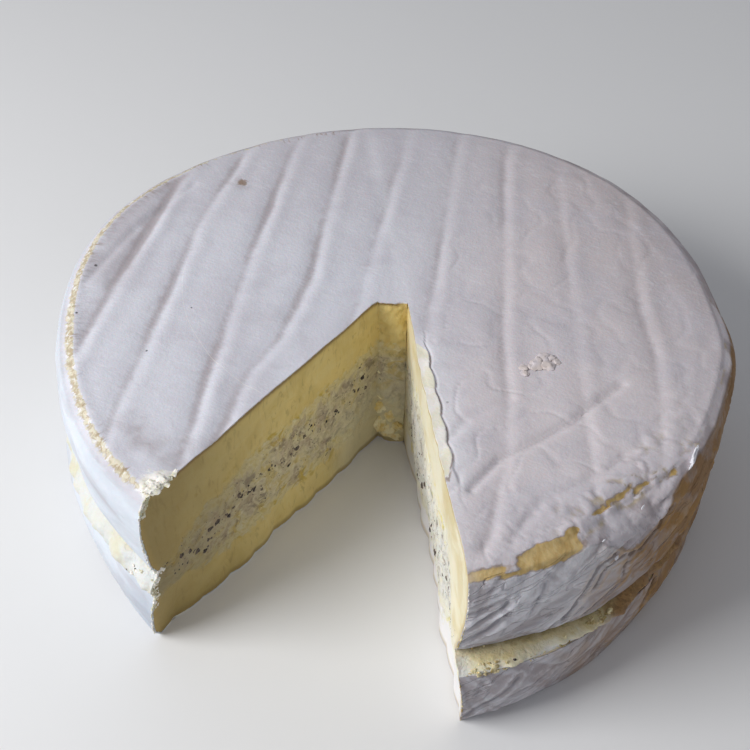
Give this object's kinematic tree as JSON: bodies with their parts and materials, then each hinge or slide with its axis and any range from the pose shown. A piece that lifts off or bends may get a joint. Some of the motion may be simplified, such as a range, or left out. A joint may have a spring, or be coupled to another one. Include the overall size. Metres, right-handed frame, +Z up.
{
  "type": "filled brie wheel",
  "caption": "Soft white-rind cheese wheel split and filled with truffle cream, with a one-eighth wedge cut out of it.",
  "frame": {"origin": "middle of the bounding box on the surface that the wheel rests on", "axes": "+Z up through the wheel, -Y towards the open mouth of the cut notch, +X to the right of the notch"},
  "size_m": [0.2198, 0.211, 0.0655],
  "materials": {
    "upper_half": "dry white mould rind with ochre worn patches, pale yellow paste at the cuts",
    "cream_filling": "soft off-white cream with black truffle bits",
    "lower_half": "dry white mould rind, pale yellow paste at the cuts"
  },
  "bodies": {
    "root": {"brie_upper": "upper_half", "truffle_cream": "cream_filling", "brie_lower": "lower_half"}
  },
  "joints": []
}
